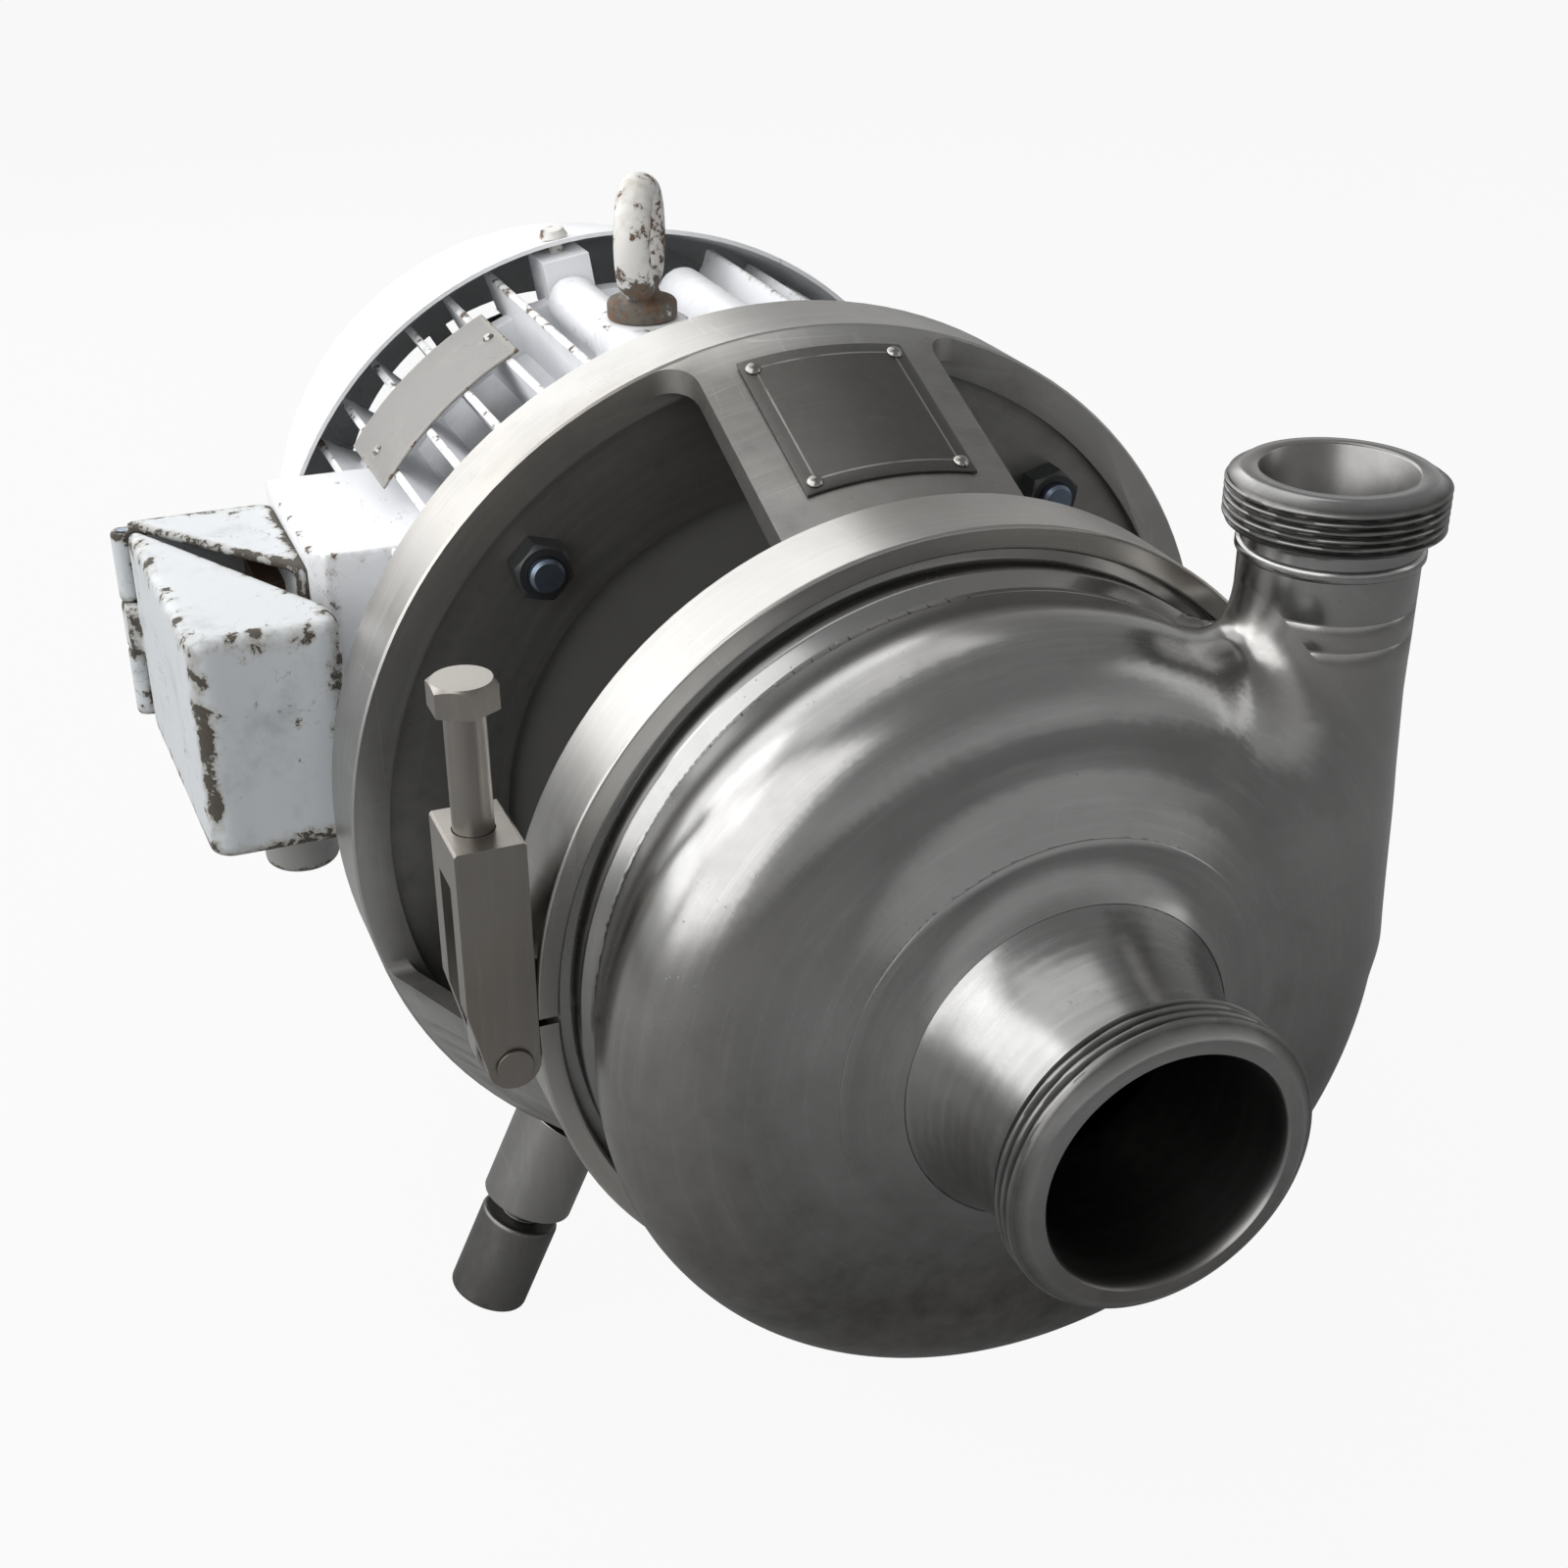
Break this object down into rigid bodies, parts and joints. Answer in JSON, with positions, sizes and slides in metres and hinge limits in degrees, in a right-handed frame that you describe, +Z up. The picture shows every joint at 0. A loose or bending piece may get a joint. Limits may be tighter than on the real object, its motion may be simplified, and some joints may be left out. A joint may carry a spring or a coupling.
{
  "type": "sanitary centrifugal pump",
  "caption": "Close-coupled sanitary centrifugal pump: stainless volute with threaded ports, clamp ring, windowed adaptor and flange motor on screwed feet.",
  "frame": {"origin": "centre of the suction port's end face", "axes": "+Y along the shaft from the suction port towards the motor, +Z up along the discharge port, +X towards the discharge side"},
  "size_m": [0.5005, 0.754, 0.5358],
  "materials": {
    "polished_steel": "satin polished stainless steel with fine scratches",
    "machined_steel": "turned stainless steel",
    "cast_steel": "cast stainless steel, matt",
    "brushed_steel": "brushed stainless steel",
    "satin_steel": "warm satin stainless steel",
    "lantern_steel": "cast stainless steel, ground on the rim, dark on its faces",
    "plate_steel": "dark satin sheet",
    "bright_screw": "polished dome heads",
    "black_steel": "black oxide",
    "zinc_steel": "dull blue zinc plate",
    "boss_steel": "light satin steel",
    "foot_steel": "mottled dark steel",
    "white_paint": "thick white brush paint, chipped",
    "cowl_paint": "white paint over pressed sheet",
    "box_paint": "thick white brush paint, heavily chipped at its edges",
    "eye_paint": "white paint with rust brown patches",
    "rating_metal": "worn light grey sheet",
    "fan_plastic": "black moulded plastic",
    "winding": "laminated core with varnished copper windings",
    "rotor_metal": "laminated core with cast end rings",
    "bearing_steel": "ground bearing steel",
    "rubber": "black rubber",
    "seal_ceramic": "lapped carbon and ceramic faces",
    "board_plastic": "brown moulded board",
    "brass": "plain brass"
  },
  "bodies": {
    "pump": {"volute_casing": "polished_steel", "casing_oring": "rubber", "backplate": "machined_steel", "seal_seat": "seal_ceramic", "clamp_ring_upper": "brushed_steel", "clamp_ring_lower": "brushed_steel", "clamp_hinge_pin": "machined_steel", "link_pin": "satin_steel", "adaptor": "lantern_steel", "name_plate": "plate_steel", "name_plate_screws": "bright_screw", "flange_studs": "zinc_steel", "flange_nuts": "black_steel", "leg_bosses": "boss_steel", "rear_leg_boss": "boss_steel", "motor_frame": "white_paint", "eyebolt": "eye_paint", "rating_plate": "rating_metal", "rating_plate_rivets": "bright_screw", "front_end_shield": "white_paint", "rear_end_shield": "white_paint", "cowl_screws": "zinc_steel", "fan_cowl": "cowl_paint", "stator": "winding", "front_bearing_outer": "bearing_steel", "rear_bearing_outer": "bearing_steel", "terminal_box": "box_paint", "lid_hinge_pin": "zinc_steel", "box_plug": "box_paint", "terminal_board": "board_plastic", "terminal_studs": "brass"},
    "rotor": {"motor_shaft": "machined_steel", "rotor_core": "rotor_metal", "front_bearing_inner": "bearing_steel", "rear_bearing_inner": "bearing_steel", "fan": "fan_plastic", "stub_shaft": "machined_steel", "stub_clamp_screws": "black_steel", "impeller": "cast_steel", "impeller_nut": "machined_steel", "seal_ring": "seal_ceramic", "seal_bellows": "rubber"},
    "link": {"clamp_link": "satin_steel"},
    "bolt_tip": {"bolt_pad": "satin_steel"},
    "bolt": {"clamp_bolt": "satin_steel"},
    "box_lid": {"terminal_box_lid": "box_paint"},
    "left_foot_screw": {"left_foot": "foot_steel"},
    "right_foot_screw": {"right_foot": "foot_steel"},
    "rear_foot_screw": {"rear_foot": "foot_steel"}
  },
  "joints": [
    {"name": "shaft_spin", "type": "hinge", "parent": "pump", "child": "rotor", "pos_m": [0, 0.3, 0], "axis": [0, 1, 0], "continuous": true},
    {"name": "link_swing", "type": "hinge", "parent": "pump", "child": "link", "pos_m": [-0.19, 0.19, -0.013], "axis": [0, -1, 0], "range_deg": [0, 95]},
    {"name": "bolt_feed", "type": "slide", "parent": "link", "child": "bolt_tip", "axis": [0, 0, 1], "range_m": [-0.0099, 0.0099]},
    {"name": "bolt_turn", "type": "hinge", "parent": "bolt_tip", "child": "bolt", "pos_m": [-0.1945, 0.19, 0.1], "axis": [0, 0, 1], "range_deg": [-1800, 1800]},
    {"name": "box_lid_swing", "type": "hinge", "parent": "pump", "child": "box_lid", "pos_m": [-0.277, 0.562, 0.033], "axis": [0, 0, -1], "range_deg": [-8.5, 100]},
    {"name": "left_foot_height", "type": "slide", "parent": "pump", "child": "left_foot_screw", "axis": [-0.4226, 0, -0.9063], "range_m": [-0.0085, 0.02]},
    {"name": "right_foot_height", "type": "slide", "parent": "pump", "child": "right_foot_screw", "axis": [0.4226, 0, -0.9063], "range_m": [-0.0085, 0.02]},
    {"name": "rear_foot_height", "type": "slide", "parent": "pump", "child": "rear_foot_screw", "axis": [0, 0, -1], "range_m": [-0.0085, 0.02]}
  ],
  "couplings": [
    {"joint": "bolt_turn", "follows": "bolt_feed", "rad_per_m": 3141.6}
  ]
}
